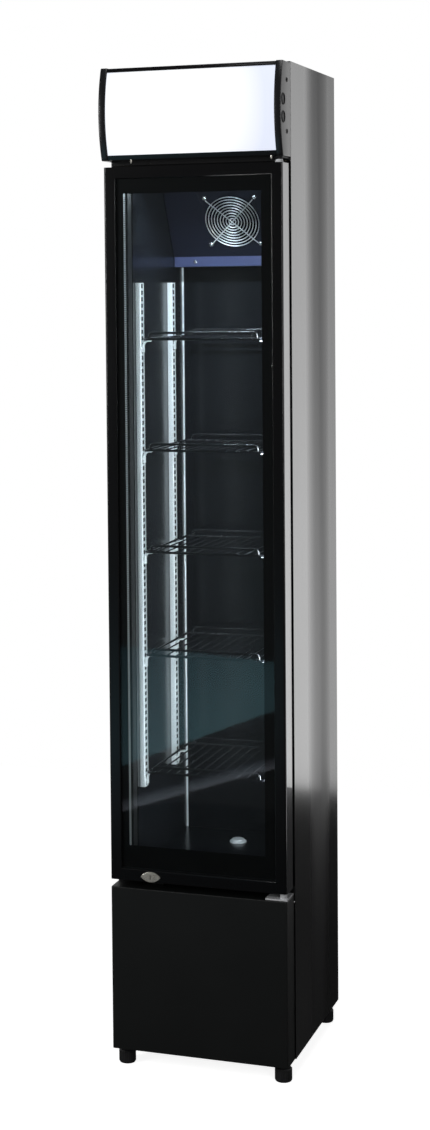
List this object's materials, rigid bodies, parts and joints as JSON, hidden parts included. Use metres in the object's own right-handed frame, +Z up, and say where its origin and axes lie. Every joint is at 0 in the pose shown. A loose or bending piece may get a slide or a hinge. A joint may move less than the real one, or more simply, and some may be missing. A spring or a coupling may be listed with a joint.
{
  "type": "glass door merchandiser",
  "caption": "Tall slim black drinks cooler with a hinged double glazed door, lit bowed sign box, wire shelves on slotted rails, fan cooler and a compressor bay on levelling feet.",
  "frame": {"origin": "on the floor, under the middle of the bounding box", "axes": "+Z up, the glass door faces -Y, +X to the right of a person who faces the door"},
  "size_m": [0.36, 0.426, 1.952],
  "materials": {
    "black_steel": "satin black coated steel sheet",
    "compressor_black": "black enamelled steel shell",
    "shelf_black": "gloss black coated steel wire",
    "black_plastic": "semi-gloss black moulded plastic",
    "switch_black": "gloss black moulded rocker",
    "foam": "rigid poured foam",
    "liner_black": "satin black coated liner sheet",
    "sign_white": "translucent white sheet, lit from behind",
    "white_plastic": "white moulded plastic",
    "lamp_white": "frosted light bar cover",
    "glass": "clear toughened float glass",
    "aluminium": "bright rolled metal",
    "coil_fins": "bare fin stock",
    "chrome": "bright plated steel",
    "rubber": "matt black rubber"
  },
  "bodies": {
    "cabinet": {"case_left": "black_steel", "case_right": "black_steel", "case_back": "black_steel", "case_top": "black_steel", "case_header": "black_steel", "base_pan": "black_steel", "kick_panel": "black_steel", "rear_grille": "black_steel", "compressor": "compressor_black", "condenser": "coil_fins", "control_box": "black_plastic", "drain_tray": "black_plastic", "drain_cap": "white_plastic", "insulation_foam": "foam", "liner_left": "liner_black", "liner_right": "liner_black", "liner_back": "liner_black", "liner_floor": "liner_black", "liner_ceiling": "liner_black", "header_panel": "liner_black", "breaker_frame": "black_plastic", "canopy_cap_left": "black_plastic", "canopy_cap_right": "black_plastic", "canopy_top_rail": "black_plastic", "canopy_bottom_rail": "black_plastic", "canopy_back_plate": "white_plastic", "sign_panel": "sign_white", "interior_lamp": "lamp_white", "top_hinge": "chrome", "bottom_hinge": "chrome", "fan_cover": "liner_black", "fan_frame": "black_plastic", "fan_guard": "chrome", "evaporator": "coil_fins", "pilaster_left_front": "aluminium", "pilaster_left_rear": "aluminium", "pilaster_right_front": "aluminium", "pilaster_right_rear": "aluminium", "shelf_1": "shelf_black", "shelf_2": "shelf_black", "shelf_3": "shelf_black", "shelf_4": "shelf_black", "shelf_5": "shelf_black"},
    "door": {"door_frame": "black_plastic", "outer_glass": "glass", "glass_spacer": "aluminium", "inner_glass": "glass", "door_seal_left": "rubber", "door_seal_right": "rubber", "door_seal_top": "rubber", "door_seal_bottom": "rubber", "lock_escutcheon": "chrome"},
    "lock": {"lock_cylinder": "chrome"},
    "lamp_rocker": {"lamp_switch": "switch_black"},
    "cooling_rocker": {"cooling_switch": "switch_black"},
    "fan": {"fan_rotor": "black_plastic"},
    "front_left_foot": {"foot_front_left": "rubber"},
    "front_right_foot": {"foot_front_right": "rubber"},
    "rear_left_foot": {"foot_rear_left": "rubber"},
    "rear_right_foot": {"foot_rear_right": "rubber"}
  },
  "joints": [
    {"name": "door_hinge", "type": "hinge", "parent": "cabinet", "child": "door", "pos_m": [0.1675, -0.179, 0.374], "axis": [0, 0, 1], "range_deg": [0, 120]},
    {"name": "lock_turn", "type": "hinge", "parent": "door", "child": "lock", "pos_m": [-0.095, -0.193, 0.3845], "axis": [0, -1, 0], "range_deg": [0, 90]},
    {"name": "lamp_switch_rock", "type": "hinge", "parent": "cabinet", "child": "lamp_rocker", "pos_m": [0.1755, -0.196, 1.877], "axis": [0, 1, 0], "range_deg": [0, 16]},
    {"name": "cooling_switch_rock", "type": "hinge", "parent": "cabinet", "child": "cooling_rocker", "pos_m": [0.1755, -0.196, 1.844], "axis": [0, 1, 0], "range_deg": [0, 16]},
    {"name": "fan_spin", "type": "hinge", "parent": "cabinet", "child": "fan", "pos_m": [0, 0.08506, 1.66219], "axis": [0, -0.8767, -0.481], "continuous": true},
    {"name": "front_left_foot_screw", "type": "hinge", "parent": "cabinet", "child": "front_left_foot", "pos_m": [-0.159, -0.157, 0], "axis": [0, 0, 1], "continuous": true},
    {"name": "front_right_foot_screw", "type": "hinge", "parent": "cabinet", "child": "front_right_foot", "pos_m": [0.159, -0.157, 0], "axis": [0, 0, 1], "continuous": true},
    {"name": "rear_left_foot_screw", "type": "hinge", "parent": "cabinet", "child": "rear_left_foot", "pos_m": [-0.159, 0.183, 0], "axis": [0, 0, 1], "continuous": true},
    {"name": "rear_right_foot_screw", "type": "hinge", "parent": "cabinet", "child": "rear_right_foot", "pos_m": [0.159, 0.183, 0], "axis": [0, 0, 1], "continuous": true}
  ]
}
